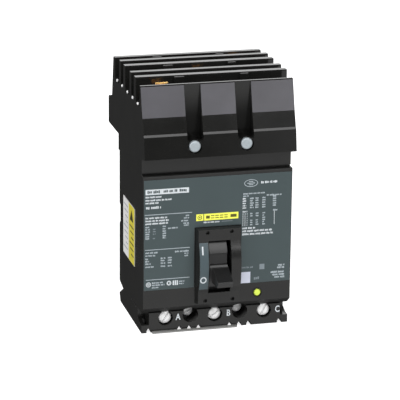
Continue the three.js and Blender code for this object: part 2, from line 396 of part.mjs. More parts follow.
// ---------------------------------------------------------------- trip bar, armatures, trip button
{
  const hook = [[38, 27], [41.6, 27], [40, 34], [37, 42], [36.6, 45.4], [38.8, 45.4], [38.8, 47], [34.2, 47], [34.2, 42]];
  let s = join(rodX(...TRIP_BAR, 3, -44, 44, 12), sweepX(hook, -1.4, 1.4),
    box(28.1, 34.1, 41.3, 43.2, 4.2, 26));
  for (const [, x] of POLES) s = join(s, box(x - 3, x + 3, 41, 44.4, 20, 27));
  place('trip_bar', 'trip_bar', s, ...PHENOL);
  for (const [p, x] of POLES) place('trip_bar', 'armature_' + p, box(x - 8, x + 8, 44.6, 45.8, 14, 24.6), ...DARKSTEEL);
  const [bx, bz] = TRIP_BUTTON;
  place('trip_button', 'trip_button', turnedY([[0, -0.3], [2.1, -0.3], [2.55, 0.1], [2.55, 3.7], [4.2, 3.7], [4.2, 5.3], [1.9, 5.3], [1.9, 40.8], [0, 40.8]], bx, bz, 20), 0xd8f25a, 0.4, 0);
  place('root', 'trip_button_spring', coil([bx, 5.9, bz], [bx, 14.5, bz], 2.9, 0.35, 5, 10), ...STEEL);
}

// ---------------------------------------------------------------- screws
for (const [side, sx] of [['left', -1], ['right', 1]]) {
  const x = sx * MOUNT_SCREW[0];
  place('root', 'mounting_screw_' + side, cut(turnedY([[0, 14], [3.6, 14], [4.3, 14.6], [4.3, 18.5], [2.6, 18.5], [2.6, 83], [1.9, 84.6], [0, 84.6]], x, MOUNT_SCREW[1], 20), box(x - 6, x + 6, 13, 15.9, MOUNT_SCREW[1] - 0.6, MOUNT_SCREW[1] + 0.6)), ...ZINC);
  const hx = sx * HOUSING_SCREW[0];
  place('root', 'housing_screw_' + side, turnedY([[0, -6.3], [3.6, -6.3], [4.35, -5.8], [4.35, -3.3], [2.2, -3.3], [2.2, 20.8], [0, 20.8]], hx, HOUSING_SCREW[1], 24), 0xbfc8cc, 0.35, 0.6);
  place('root', 'cover_screw_upper_' + side, turnedY([[0, 28], [1.7, 28], [1.7, 72.3], [3.3, 72.3], [3.3, 75.4], [0, 75.4]], sx * BARRIER_X, 106, 10), ...STEEL);
  place('root', 'cover_screw_lower_' + side, turnedY([[0, 28], [1.7, 28], [1.7, 72.3], [3.3, 72.3], [3.3, 75.4], [0, 75.4]], sx * 49.5, 6, 10), ...STEEL);
}

export default assembly;
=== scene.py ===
# Three-pole molded case breaker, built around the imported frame. Metres, +Z up.
# The front faces -Y, with the nameplate and handle on it. The poles A, B, C run along +X.
# Pieces are drawn in mm in a frame with y = 0 on the cover's front face and z = 0 at its lower edge.
import bpy
import bmesh
import json
import math
import random
from functools import cached_property
from mathutils import Matrix, Vector


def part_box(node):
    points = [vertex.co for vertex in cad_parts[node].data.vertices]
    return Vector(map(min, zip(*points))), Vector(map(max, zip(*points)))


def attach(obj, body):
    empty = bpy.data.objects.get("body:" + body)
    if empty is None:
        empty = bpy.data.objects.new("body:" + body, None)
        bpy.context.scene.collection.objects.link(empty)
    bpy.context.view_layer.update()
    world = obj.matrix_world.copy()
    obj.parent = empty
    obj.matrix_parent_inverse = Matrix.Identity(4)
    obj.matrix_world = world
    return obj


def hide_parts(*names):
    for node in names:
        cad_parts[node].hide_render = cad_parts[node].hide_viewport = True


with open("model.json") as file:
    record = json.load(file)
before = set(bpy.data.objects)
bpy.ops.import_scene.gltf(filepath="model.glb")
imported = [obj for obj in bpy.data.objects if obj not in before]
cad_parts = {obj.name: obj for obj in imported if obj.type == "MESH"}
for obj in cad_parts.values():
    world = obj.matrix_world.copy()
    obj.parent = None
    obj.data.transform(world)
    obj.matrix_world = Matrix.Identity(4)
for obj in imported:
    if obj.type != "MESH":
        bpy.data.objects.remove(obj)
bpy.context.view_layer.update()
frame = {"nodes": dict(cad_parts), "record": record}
nodes = frame["nodes"]

BASE_REAR = 80.3      # y of the rear mounting face
BASE_FOOT = -20.0     # z of the lowest edge of the base
SHIFT_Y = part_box("base")[1].y * 1000.0 - BASE_REAR
SHIFT_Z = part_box("base")[0].z * 1000.0 - BASE_FOOT


def at(x, y, z):
    """Scene point, in metres, of a drawing point in mm."""
    return Vector((x / 1000.0, (y + SHIFT_Y) / 1000.0, (z + SHIFT_Z) / 1000.0))


# ------------------------------------------------------------------ shader building
def linear(channel):
    c = channel / 255.0
    return c / 12.92 if c <= 0.04045 else ((c + 0.055) / 1.055) ** 2.4


class Shader:
    """Node tree of one material. Inputs may be given as numbers, tuples or output sockets."""

    def __init__(self, name):
        self.material = bpy.data.materials.new(name)
        self.material.use_nodes = True
        tree = self.material.node_tree
        for node in list(tree.nodes):
            tree.nodes.remove(node)
        self.nodes, self.link = tree.nodes, tree.links.new
        output = self.add("OutputMaterial")
        self.surface = self.add("BsdfPrincipled")
        self.link(self.surface.outputs[0], output.inputs[0])
        self.object_space = self.add("TexCoord").outputs["Object"]

    @cached_property
    def geometry(self):
        return self.add("NewGeometry")

    def add(self, kind, **settings):
        node = self.nodes.new("ShaderNode" + kind)
        for key, value in settings.items():
            setattr(node, key, value)
        return node

    def feed(self, socket, value):
        if isinstance(value, bpy.types.NodeSocket):
            self.link(value, socket)
        else:
            socket.default_value = value

    def noise(self, vector, scale, detail):
        node = self.add("TexNoise")
        node.inputs["Scale"].default_value = scale
        node.inputs["Detail"].default_value = detail
        self.link(vector, node.inputs["Vector"])
        return node.outputs[0]

    def remap(self, value, source, target, interpolation="LINEAR"):
        node = self.add("MapRange", interpolation_type=interpolation)
        for socket, limit in zip(node.inputs[1:5], (*source, *target)):
            socket.default_value = limit
        self.link(value, node.inputs[0])
        return node.outputs[0]

    def calc(self, operation, first, second):
        node = self.add("Math", operation=operation)
        self.feed(node.inputs[0], first)
        self.feed(node.inputs[1], second)
        return node.outputs[0]

    def mix(self, factor, first, second, kind="RGBA"):
        node = self.add("Mix", data_type=kind)
        a, b, result = (6, 7, 2) if kind == "RGBA" else (2, 3, 0)
        self.link(factor, node.inputs[0])
        self.feed(node.inputs[a], first)
        self.feed(node.inputs[b], second)
        return node.outputs[result]

    def scaled(self, colour, amount):
        node = self.add("VectorMath", operation="SCALE")
        node.inputs[0].default_value = colour
        self.link(amount, node.inputs["Scale"])
        return node.outputs[0]

    def split(self, vector):
        node = self.add("SeparateXYZ")
        self.link(vector, node.inputs[0])
        return node.outputs


def add_painted_sheen(sh, col, roughness, spec, bottom, back, colour, rough):
    """Paints a sheen on front faces above `bottom` and ahead of `back`: a lighter, streaked colour
    stands in for the reflection of the lights on these facets, and they get their own roughness.

    Two upright channels are left out. Their floors lose gloss towards the lower end.
    """
    channel_x = 0.019
    outside, inside = 0.0062, 0.0061     # distances from the channel's centre line
    place = sh.split(sh.geometry.outputs["Position"])
    above = sh.remap(place["Z"], source=(bottom - 0.00015, bottom + 0.00015), target=(0.0, 1.0))
    f = sh.calc("MULTIPLY", above, sh.calc("LESS_THAN", place["Y"], back))
    normal = sh.split(sh.geometry.outputs["Normal"])
    f = sh.calc("MULTIPLY", f, sh.calc("LESS_THAN", normal["Y"], -0.85))
    offset = sh.calc("SUBTRACT", sh.calc("ABSOLUTE", place["X"], 0.0), channel_x)
    offset = sh.calc("ABSOLUTE", offset, 0.0)
    f = sh.calc("MULTIPLY", f, sh.calc("GREATER_THAN", offset, outside))
    # noise streaks in the lighter colour of the painted sheen
    streak = sh.noise(sh.object_space, scale=30.0, detail=4.0)
    sheen_variation = sh.remap(streak, source=(0.3, 0.7), target=(0.86, 1.14))
    col = sh.mix(f, col, sh.scaled([linear(c) for c in colour], sheen_variation))
    roughness = sh.mix(f, roughness, rough, "FLOAT")

    g = sh.calc("MULTIPLY", sh.calc("LESS_THAN", offset, inside),
                sh.calc("LESS_THAN", normal["Y"], -0.6))
    g = sh.calc("MULTIPLY", g, sh.calc("LESS_THAN", place["Y"], back + 0.0022))
    g = sh.calc("MULTIPLY", g, sh.calc("GREATER_THAN", place["Z"], bottom - 0.018))
    gloss = sh.remap(place["Z"], source=(bottom - 0.004, bottom + 0.02), target=(0.07, 0.5),
                     interpolation="SMOOTHSTEP")
    sh.link(sh.mix(g, spec, gloss, "FLOAT"), sh.surface.inputs["Specular IOR Level"])
    return col, roughness


def add_wear(sh, col, roughness, colour, rough, wear):
    """Paler, rougher patches along the edges."""
    bevel = sh.add("Bevel", samples=6)
    bevel.inputs["Radius"].default_value = 0.0007
    dot = sh.add("VectorMath", operation="DOT_PRODUCT")
    sh.link(bevel.outputs[0], dot.inputs[0])
    sh.link(sh.geometry.outputs["Normal"], dot.inputs[1])
    edge = sh.remap(dot.outputs["Value"], source=(0.985, 0.86), target=(0.0, 1.0))
    patches = sh.noise(sh.object_space, scale=420.0, detail=5.0)
    patches = sh.remap(patches, source=(0.42, 0.68), target=(0.15 * wear, wear))
    f = sh.calc("MULTIPLY", edge, patches)
    worn = tuple(min(1.0, c * 4 + 0.03) for c in colour) + (1.0,)
    return sh.mix(f, col, worn), sh.mix(f, roughness, min(1.0, rough + 0.18), "FLOAT")


def material(name, srgb, *, rough, var, grain, bump, metal=0.0, spec=0.5, var_scale=60.0,
             rough_var=0.08, brushed=None, wear=0.0, marks=0.0, under=0.0, sheen_zone=None):
    """Noisy surface. srgb is 0-255, var the share of cloudy colour change, grain the scale of the
    fine noise, bump its strength, under the roughness of faces that look down."""
    sh = Shader(name)
    colour = [linear(c) for c in srgb]
    inputs = sh.surface.inputs
    inputs["Metallic"].default_value = metal
    inputs["Specular IOR Level"].default_value = spec
    mapping = sh.add("Mapping")
    sh.link(sh.object_space, mapping.inputs[0])
    if brushed:
        mapping.inputs["Scale"].default_value = brushed

    # broad, cloudy colour change
    clouds = sh.noise(sh.object_space, scale=var_scale, detail=6.0)
    col = sh.scaled(colour, sh.remap(clouds, source=(0.3, 0.7), target=(1.0 - var, 1.0 + var)))
    # fine grain for bump and roughness
    fine = sh.noise(mapping.outputs[0], scale=grain, detail=3.0)
    roughness = sh.remap(fine, source=(0.25, 0.75),
                         target=(max(0.03, rough - rough_var), rough + rough_var))
    # slow change of gloss, as on handled mouldings
    slow = sh.noise(sh.object_space, scale=45.0, detail=5.0)
    slow = sh.remap(slow, source=(0.35, 0.65), target=(0.9, 1.12))
    roughness = sh.calc("MULTIPLY", roughness, slow)
    # painted sheen: a lighter colour on part of the front faces stands in for reflected light
    if sheen_zone:
        col, roughness = add_painted_sheen(sh, col, roughness, spec, **sheen_zone)
    if under > 0:
        normal = sh.split(sh.geometry.outputs["Normal"])
        roughness = sh.mix(sh.calc("LESS_THAN", normal["Z"], -0.3), roughness, under, "FLOAT")
    if wear > 0:
        col, roughness = add_wear(sh, col, roughness, colour, rough, wear)
    if marks > 0:
        # sparse pale scuffs and dust
        specks = sh.noise(sh.object_space, scale=900.0, detail=2.0)
        specks = sh.remap(specks, source=(0.72, 0.78), target=(0.0, marks))
        col = sh.mix(specks, col, (0.35, 0.35, 0.34, 1.0))
    sh.link(col, inputs["Base Color"])
    sh.link(roughness, inputs["Roughness"])
    if bump > 0:
        node = sh.add("Bump")
        node.inputs["Strength"].default_value = bump
        node.inputs["Distance"].default_value = 0.00004
        sh.link(fine, node.inputs["Height"])
        sh.link(node.outputs[0], inputs["Normal"])
    return sh.material


# ------------------------------------------------------------------ materials
BLACK = (27, 27, 26)
MOULDED = dict(var=0.12, grain=1900, rough_var=0.03, wear=0.16, marks=0.05)
PRINTED = dict(grain=3000, bump=0.0)
METAL = dict(metal=1.0, grain=1500)
# painted sheen: the lighter colour (80, 79, 84) on the upper front facets of the housing stands in for
# reflected light; rough sets their roughness
HOUSING_SHEEN = dict(bottom=at(0, 0, 147.0).z, back=at(0, 7.3, 0).y, colour=(80, 79, 84), rough=0.24)
MATS = {
    "black_plastic": material("black_moulded", BLACK, rough=0.17, bump=0.06, **MOULDED),
    "cover_plastic": material("cover_moulded", BLACK, rough=0.19, bump=0.06, under=0.6, **MOULDED),
    "housing_plastic": material("housing_moulded", BLACK, rough=0.10, bump=0.04,
                                sheen_zone=HOUSING_SHEEN, **MOULDED),
    "handle_plastic": material("handle_moulded", (27, 27, 27), rough=0.31, var=0.10, grain=2100,
                               bump=0.08, rough_var=0.04, wear=0.22),
    "nameplate_grey": material("nameplate_film", (62, 75, 77), rough=0.36, var=0.035,
                               var_scale=35, grain=3200, bump=0.04, rough_var=0.05),
    "position_label": material("position_film", (70, 84, 89), rough=0.34, var=0.03, grain=3000,
                               bump=0.03),
    "print_white": material("print_white", (214, 220, 224), rough=0.5, var=0.06, var_scale=900,
                            **PRINTED),
    "print_soft": material("print_soft", (176, 186, 192), rough=0.5, var=0.12, var_scale=900,
                           **PRINTED),
    "print_lilac": material("print_lilac", (206, 210, 225), rough=0.45, var=0.03, **PRINTED),
    "print_grey": material("print_grey", (128, 138, 144), rough=0.5, var=0.08, **PRINTED),
    "badge_yellow": material("badge_yellow", (255, 255, 96), rough=0.4, var=0.03, grain=3000,
                             bump=0.02),
    "badge_dark": material("badge_dark", (92, 88, 24), rough=0.45, var=0.08, **PRINTED),
    "side_white": material("side_sticker_white", (222, 221, 220), rough=0.5, var=0.04,
                           grain=3000, bump=0.02),
    "side_yellow": material("side_sticker_yellow", (208, 196, 66), rough=0.5, var=0.05,
                            grain=3000, bump=0.02),
    "side_dark": material("side_sticker_dark", (40, 38, 22), rough=0.5, var=0.1, **PRINTED),
    "card_grey": material("insulating_sheet", (132, 132, 130), rough=0.5, var=0.06, grain=1500,
                          bump=0.08),
    "zinc_steel": material("zinc_plate", (240, 241, 244), rough=0.30, metal=1.0, var=0.05,
                           var_scale=500, grain=2400, bump=0.03, rough_var=0.05),
    "disc_metal": material("disc_plate", (180, 189, 194), rough=0.42, metal=0.55, var=0.09,
                           var_scale=700, grain=2200, bump=0.10),
    # plated screw heads and pips: the pure white, mostly non-metallic colour is painted glare, standing
    # in for the blown-out highlights on the plating
    "screw_plate": material("plate_painted_glare", (255, 255, 255), rough=0.32, metal=0.14, spec=1.0,
                            var=0.06, var_scale=700, grain=2400, bump=0.03, rough_var=0.05),
    "steel": material("ground_steel", (180, 182, 184), rough=0.3, metal=1.0, var=0.1,
                      grain=1400, bump=0.05, brushed=(1, 1, 0.08)),
    "dark_steel": material("stamped_steel", (120, 122, 126), rough=0.38, metal=1.0, var=0.14,
                           grain=1300, bump=0.08),
    "copper": material("drawn_copper", (208, 134, 88), rough=0.3, var=0.12, var_scale=120,
                       bump=0.05, brushed=(1, 1, 0.1), **METAL),
    "jaw_copper": material("spring_copper", (238, 196, 128), rough=0.24, var=0.12,
                           var_scale=160, bump=0.04, **METAL),
    "bimetal": material("rolled_strip", (170, 156, 132), rough=0.34, var=0.1, bump=0.05, **METAL),
    "aluminium": material("tinned_lug", (206, 209, 211), rough=0.34, var=0.1, var_scale=200,
                          bump=0.08, **METAL),
    "fibre": material("fibre_board", (150, 138, 118), rough=0.75, var=0.15, var_scale=300,
                      grain=1200, bump=0.25),
    "brown_phenolic": material("phenolic", (84, 62, 50), rough=0.42, var=0.18, var_scale=400,
                               grain=1500, bump=0.1),
    "button_yellow": material("button_moulded", (226, 248, 92), rough=0.32, var=0.04,
                              grain=2000, bump=0.02),
}


# ------------------------------------------------------------------ mesh helpers
def paint(obj, mat):
    obj.data.materials.clear()
    obj.data.materials.append(mat)


def shade(obj, angle):
    """Smooth shading, with edges sharper than the angle kept crisp."""
    for face in obj.data.polygons:
        face.use_smooth = True
    obj.data.set_sharp_from_angle(angle=math.radians(angle))


def new_object(name, verts, faces, mat, body, smooth=None):
    mesh = bpy.data.meshes.new(name)
    mesh.from_pydata([tuple(v) for v in verts], [], faces)
    mesh.validate()
    bm = bmesh.new()
    bm.from_mesh(mesh)
    bmesh.ops.remove_doubles(bm, verts=bm.verts, dist=1e-8)
    bmesh.ops.recalc_face_normals(bm, faces=bm.faces)
    bm.to_mesh(mesh)
    bm.free()
    obj = bpy.data.objects.new(name, mesh)
    bpy.context.scene.collection.objects.link(obj)
    paint(obj, MATS[mat])
    if smooth is not None:
        shade(obj, smooth)
    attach(obj, body)
    return obj


def soften(obj, width, segments, angle):
    """Rounds the sharp edges of a faceted solid with modifiers."""
    weld = obj.modifiers.new("weld", "WELD")
    weld.merge_threshold = 2e-6
    planar = obj.modifiers.new("planar", "DECIMATE")
    planar.decimate_type = "DISSOLVE"
    planar.angle_limit = math.radians(1.0)
    bevel = obj.modifiers.new("round", "BEVEL")
    bevel.width = width
    bevel.segments = segments
    bevel.limit_method = "ANGLE"
    bevel.angle_limit = math.radians(angle)
    bevel.use_clamp_overlap = True
    bevel.harden_normals = False
    bevel.miter_outer = "MITER_ARC"
    normals = obj.modifiers.new("normals", "WEIGHTED_NORMAL")
    normals.mode = "FACE_AREA"
    normals.weight = 100
    normals.thresh = 0.05
    normals.keep_sharp = False
    for face in obj.data.polygons:
        face.use_smooth = True


def prism_faces(n, start=0):
    """Faces of a plate whose n front vertices are followed by its n back vertices."""
    faces = [tuple(start + i for i in range(n)), tuple(start + n + i for i in reversed(range(n)))]
    for i in range(n):
        j = (i + 1) % n
        faces.append((start + j, start + i, start + n + i, start + n + j))
    return faces


def rounded(profile, r=0.25, steps=3):
    """Rounds the inner corners of an open profile of (radius, position) points."""
    out = [profile[0]]
    for before, corner, after in zip(profile, profile[1:], profile[2:]):
        corner = Vector(corner)
        a, b = Vector(before) - corner, Vector(after) - corner
        d = min(r, a.length * 0.45, b.length * 0.45)
        a, b = corner + a.normalized() * d, corner + b.normalized() * d
        for k in range(steps + 1):
            t = k / steps
            q = a * (1 - t) ** 2 + corner * 2 * t * (1 - t) + b * t * t
            out.append((max(0.0, q.x), q.y))
    out.append(profile[-1])
    return out


def turned(name, profile, x, z, mat, body, n=72):
    """Turned piece about an axis along Y through (x, z). The profile is (radius, y) in mm."""
    verts, faces, rings = [], [], []
    for r, y in profile:
        if r < 1e-6:
            rings.append([len(verts)])
            verts.append(at(x, y, z))
        else:
            rings.append(list(range(len(verts), len(verts) + n)))
            turns = [2 * math.pi * i / n for i in range(n)]
            verts += [at(x + r * math.cos(t), y, z + r * math.sin(t)) for t in turns]
    for a, b in zip(rings, rings[1:]):
        for i in range(n):
            j = (i + 1) % n
            if len(a) == 1:
                faces.append((a[0], b[i], b[j]))
            elif len(b) == 1:
                faces.append((a[i], b[0], a[j]))
            else:
                faces.append((a[i], b[i], b[j], a[j]))
    return new_object(name, verts, faces, mat, body, smooth=28)


def cut_slot(obj, centre, size, angle):
    """Cuts a box slot, turned about Y by the angle in degrees, and rounds the edges."""
    bm = bmesh.new()
    bmesh.ops.create_cube(bm, size=1.0)
    for v in bm.verts:
        v.co = Vector([c * s for c, s in zip(v.co, size)]) / 1000.0
    mesh = bpy.data.meshes.new("cutter")
    bm.to_mesh(mesh)
    bm.free()
    cutter = bpy.data.objects.new("cutter", mesh)
    bpy.context.scene.collection.objects.link(cutter)
    turn = Matrix.Rotation(math.radians(angle), 4, "Y")
    cutter.matrix_world = Matrix.Translation(at(*centre)) @ turn
    bpy.context.view_layer.update()
    cut = obj.modifiers.new("slot", "BOOLEAN")
    cut.operation, cut.object, cut.solver = "DIFFERENCE", cutter, "EXACT"
    depsgraph = bpy.context.evaluated_depsgraph_get()
    result = bpy.data.meshes.new_from_object(obj.evaluated_get(depsgraph))
    obj.modifiers.remove(cut)
    obj.data = result
    bpy.data.objects.remove(cutter)
    shade(obj, 28)
    bevel = obj.modifiers.new("round", "BEVEL")
    bevel.width, bevel.segments = 0.00012, 2
    bevel.limit_method, bevel.angle_limit = "ANGLE", math.radians(40)
    bevel.harden_normals = True


class Print:
    """Thin printed marks collected into one mesh of closed plates facing -Y, in mm."""

    def __init__(self, front, thick=0.05):
        self.verts, self.faces = [], []
        self.front, self.back = front, front + thick

    def bar(self, x0, x1, z0, z1):
        corners = [(x0, z0), (x1, z0), (x1, z1), (x0, z1)]
        if x1 < x0:
            corners.reverse()
        self.faces += prism_faces(4, start=len(self.verts))
        self.verts += [at(x, y, z) for y in (self.front, self.back) for x, z in corners]

    def ring(self, cx, cz, rx, rz, w, n=40):
        """Elliptic ring with outer radii rx and rz and band width w."""
        k = len(self.verts)
        for y in (self.front, self.back):
            for inset in (0, w):
                for i in range(n):
                    a = 2 * math.pi * i / n
                    self.verts.append(at(cx + (rx - inset) * math.cos(a), y,
                                         cz + (rz - inset) * math.sin(a)))
        for i in range(n):
            j = (i + 1) % n
            o0, i0, o1, i1 = k, k + n, k + 2 * n, k + 3 * n
            self.faces += [(o0 + i, o0 + j, i0 + j, i0 + i), (o1 + j, o1 + i, i1 + i, i1 + j),
                           (o0 + j, o0 + i, o1 + i, o1 + j), (i0 + i, i0 + j, i1 + j, i1 + i)]

    def words(self, x0, x1, z, h, seed):
        """Abstract word blocks of height h between x0 and x1, centred on height z."""
        rnd = random.Random(seed)
        x, blocks = x0, []
        while x < x1 - 0.4:
            width = min(rnd.uniform(1.6, 4.6) * h / 1.2, x1 - x)
            blocks.append((x, x + width))
            x += width + 0.42 * h
        for left, right in blocks:
            while left < right - 0.12:
                end = min(right, left + rnd.uniform(0.5, 0.85) * h)
                top = z + h * rnd.choice((0.42, 0.42, 0.6))
                low = z - h * rnd.choice((0.42, 0.42, 0.42, 0.56))
                self.bar(left, end - 0.13 * h, low, top)
                left = end

    def lines(self, *rows):
        """Rows of words, each (x0, x1, z, h, seed)."""
        for row in rows:
            self.words(*row)

    def make(self, name, mat, slot="nameplate_grey"):
        new_object(name, self.verts, self.faces, mat, "root")


# ------------------------------------------------------------------ carried-over CAD nodes
OWN_MATERIAL = {"line_housing": "housing_plastic", "cover": "cover_plastic"}
SOFTEN = {"base": 0.00045, "cover": 0.0004, "line_housing": 0.0004, "handle": 0.0006,
          "insulating_card": 0.0001, "nameplate": 0.00006, "side_label": 0.00005,
          "position_label": 0.00004}   # bevel widths, m
HEAVY_PARTS = ("contact_arm", "line_jaw", "lug_", "crossbar", "trip_bar")
slot_of = {s["node"]: s["material_slot"] for s in frame["record"]["subparts"]}
for name, obj in nodes.items():
    # a slot without a material of its own gets the white of the side sticker
    paint(obj, MATS.get(OWN_MATERIAL.get(name) or slot_of[name], MATS["side_white"]))
    if name in SOFTEN:
        soften(obj, SOFTEN[name], segments=3 if name == "handle" else 2,
               angle=18.5 if name in OWN_MATERIAL else 32)
    else:
        spring = "spring" in name
        soften(obj, 0.00015 if name.startswith(HEAVY_PARTS) else 0.0001,
               segments=1 if spring else 2, angle=80 if spring else 35)

# ------------------------------------------------------------------ turned pieces
# profiles are (radius, y), from the front to the rear
HOUSING_SCREW = [(0, -6.35), (2.2, -6.3), (3.7, -6.15), (4.35, -5.5), (4.35, -3.3), (2.2, -3.3),
                 (2.2, 20.8), (0, 20.8)]
MOUNTING_SCREW = [(0, 13.9), (2.6, 14.05), (3.7, 14.5), (4.25, 15.4), (4.3, 18.5), (2.6, 18.5),
                  (2.6, 83), (1.9, 84.6), (0, 84.6)]
LUG_SCREW_HEAD = [(0, 7.0), (2.6, 7.1), (4.2, 7.5), (4.95, 8.3), (5.0, 12.2), (3.8, 12.2)]
TRIP_BUTTON = [(0, -0.42), (1.3, -0.36), (2.3, -0.1), (2.58, 0.4), (2.58, 3.7), (4.2, 3.7),
               (4.2, 5.3), (1.9, 5.3), (1.9, 40.8), (0, 40.8)]
BUTTON_RING = [(3.3, -0.05), (3.3, -0.3), (3.95, -0.3), (4.05, -0.05), (3.3, -0.05)]
HOUSING_SCREW_X, HOUSING_SCREW_Z = 19.5, 125.5
MOUNTING_SCREW_X, MOUNTING_SCREW_Z = 19.05, -8.1
POLE_PITCH = 38.1
LUG_SCREW_Z = -9.5
BUTTON_X, BUTTON_Z = 31.1, 7.3


def lug_screw_profile():
    crest, root, pitch = 3.8, 3.35, 1.25
    profile = list(LUG_SCREW_HEAD)
    y = 12.8
    while y < 29.0:
        profile += [(crest, y), (root, y + 0.45), (crest, y + 0.9)]
        y += pitch
    return rounded(profile + [(2.6, 30.4), (0, 30.4)], 0.2, 2)


for side, sign in (("left", -1), ("right", 1)):
    screw = turned("housing_screw_%s_turned" % side, rounded(HOUSING_SCREW, 0.3),
                   sign * HOUSING_SCREW_X, HOUSING_SCREW_Z, "disc_metal", "root")
    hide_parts("housing_screw_" + side)
    screw_x = sign * MOUNTING_SCREW_X
    screw = turned("mounting_screw_%s_turned" % side, rounded(MOUNTING_SCREW, 0.35),
                   screw_x, MOUNTING_SCREW_Z, "screw_plate", "root")
    cut_slot(screw, (screw_x, 14.2, MOUNTING_SCREW_Z), size=(14, 2.6, 1.2), angle=25 * sign)
    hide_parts("mounting_screw_" + side)
for pole, x, angle in (("a", -POLE_PITCH, -58), ("b", 0.0, -34), ("c", POLE_PITCH, -62)):
    screw = turned("lug_screw_%s_turned" % pole, lug_screw_profile(), x, LUG_SCREW_Z,
                   "screw_plate", "lug_screw_" + pole)
    cut_slot(screw, (x, 7.5, LUG_SCREW_Z), size=(14, 3.6, 1.5), angle=angle)
    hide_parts("lug_screw_" + pole)
button = turned("trip_button_turned", rounded(TRIP_BUTTON), BUTTON_X, BUTTON_Z,
                "button_yellow", "trip_button")
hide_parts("trip_button")
# raised ring around the button hole
turned("button_ring", rounded(BUTTON_RING, 0.08, 2), BUTTON_X, BUTTON_Z,
       "black_plastic", "root")


def glint_pip(name, y, z, n=28):
    """White domed pip facing -X on the left side of the line housing, standing in for the glint at a
    slot's end: a painted highlight.
    """
    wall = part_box("line_housing")[0].x * 1000.0
    inner, tip = 0.6, -0.5               # ends, from the wall
    # profile of (radius, distance from the wall)
    profile = rounded([(1.15, inner), (1.15, -0.12), (0.8, -0.42), (0.0, tip)], 0.2, 3)
    rings = profile[:-1]
    turns = [2 * math.pi * i / n for i in range(n)]
    verts = [at(wall + dx, y + r * math.cos(t), z + r * math.sin(t))
             for r, dx in rings for t in turns]
    verts += [at(wall + tip, y, z), at(wall + inner, y, z)]
    faces = []
    for a in range(len(rings) - 1):
        for i in range(n):
            j = (i + 1) % n
            faces.append((a * n + i, a * n + j, (a + 1) * n + j, (a + 1) * n + i))
    last = (len(rings) - 1) * n
    for i in range(n):
        j = (i + 1) % n
        faces += [(last + i, last + j, len(verts) - 2), (j, i, len(verts) - 1)]
    new_object(name, verts, faces, "screw_plate", "root", smooth=40)


# (y, z) at the left ends of the five slots, where the pips paint glints
GLINT_PIPS = ((15.7, 154.4), (32.9, 154.6), (50.1, 154.4), (68.0, 154.6), (85.2, 154.4))
for k, (y, z) in enumerate(GLINT_PIPS):
    glint_pip("slot_pip_%d" % k, y, z)

# ------------------------------------------------------------------ nameplate print
# Abstract blocks, no lettering. bar(x0, x1, z0, z1), ring(x, z, rx, rz, band), words(x0, x1, z, h, seed)
PLATE_Y = -0.40
white, soft, grey = Print(PLATE_Y), Print(PLATE_Y), Print(PLATE_Y)
header = Print(PLATE_Y - 0.06)
badge = Print(PLATE_Y - 0.02, 0.07)
badge_blocks = Print(PLATE_Y - 0.08)
patch = Print(PLATE_Y)


def print_left_top():
    white.bar(-55, -22.4, 89.4, 93.4)
    header.lines((-53.6, -44, 91.4, 1.9, 3), (-41.5, -31, 91.4, 1.9, 4),
                 (-29.5, -23.6, 91.4, 1.9, 5))
    white.lines((-55, -42.4, 87.5, 1.25, 11), (-55, -35.3, 85.1, 1.25, 12),
                (-55, -45.2, 83.0, 1.25, 13), (-54.6, -43.2, 79.4, 1.9, 14))
    # rules across the left half
    for z, x0, x1 in ((74.0, -55.6, -19.9), (47.0, -55.3, -21.3), (23.7, -54.6, -21.4)):
        soft.bar(x0, x1, z - 0.24, z + 0.24)


def print_left_tables():
    white.lines((-55, -38.6, 71.5, 1.25, 21), (-55, -36.9, 69.3, 1.25, 22),
                (-55, -37.5, 67.1, 1.25, 23))
    for i, z in enumerate((64.6, 62.8, 61.0, 59.2, 57.4, 55.8)):
        soft.words(-55, -51.6, z, 1.1, 30 + i)
        if i in (1, 2, 3, 5):
            grey.words(-49.4, -47.2, z, 0.9, 40 + i)
        soft.words(-42, -39.4, z, 1.1, 50 + i)
    soft.words(-38, -30.6, 62.9, 1.1, 60)
    soft.lines((-24.6, -22.0, 71.8, 1.1, 70), (-26.0, -22.0, 70.0, 1.1, 71),
               (-28.0, -22.0, 67.9, 1.1, 72), (-26.4, -22.0, 66.0, 1.1, 73),
               (-26.0, -22.0, 64.4, 1.1, 74))
    soft.lines((-55, -44.9, 44.7, 1.1, 81), (-55, -47.5, 42.5, 1.1, 82))
    for i, (z, x1) in enumerate(((40.0, -52.6), (38.2, -52.0), (36.2, -50.8), (33.8, -48.6))):
        soft.lines((-55, x1, z, 1.1, 90 + i), (-43.4, -39.8, z, 1.1, 100 + i),
                   (-38.0, -34.8, z, 1.1, 110 + i))
    soft.lines((-32.6, -22.0, 44.4, 1.2, 120), (-25.4, -22.2, 42.6, 1.1, 121),
               (-25.4, -22.2, 40.8, 1.1, 122))


def print_left_foot():
    white.ring(-52.6, 20.0, 1.9, 1.9, 0.5)
    white.ring(-52.6, 20.0, 0.95, 0.95, 0.45)
    soft.lines((-50.0, -41.6, 21.1, 1.1, 130), (-50.0, -40.4, 19.3, 1.1, 131),
               (-50.0, -44.8, 17.4, 1.0, 132))
    white.ring(-37.0, 20.2, 1.8, 1.8, 0.8)
    white.bar(-37.0, -35.4, 19.8, 20.6)
    for i in range(3):
        white.bar(-34.2 + i * 1.5, -33.2 + i * 1.5, 18.3, 22.0)
    soft.lines((-29.4, -25.2, 21.0, 1.1, 133), (-29.4, -25.6, 19.2, 1.1, 134))


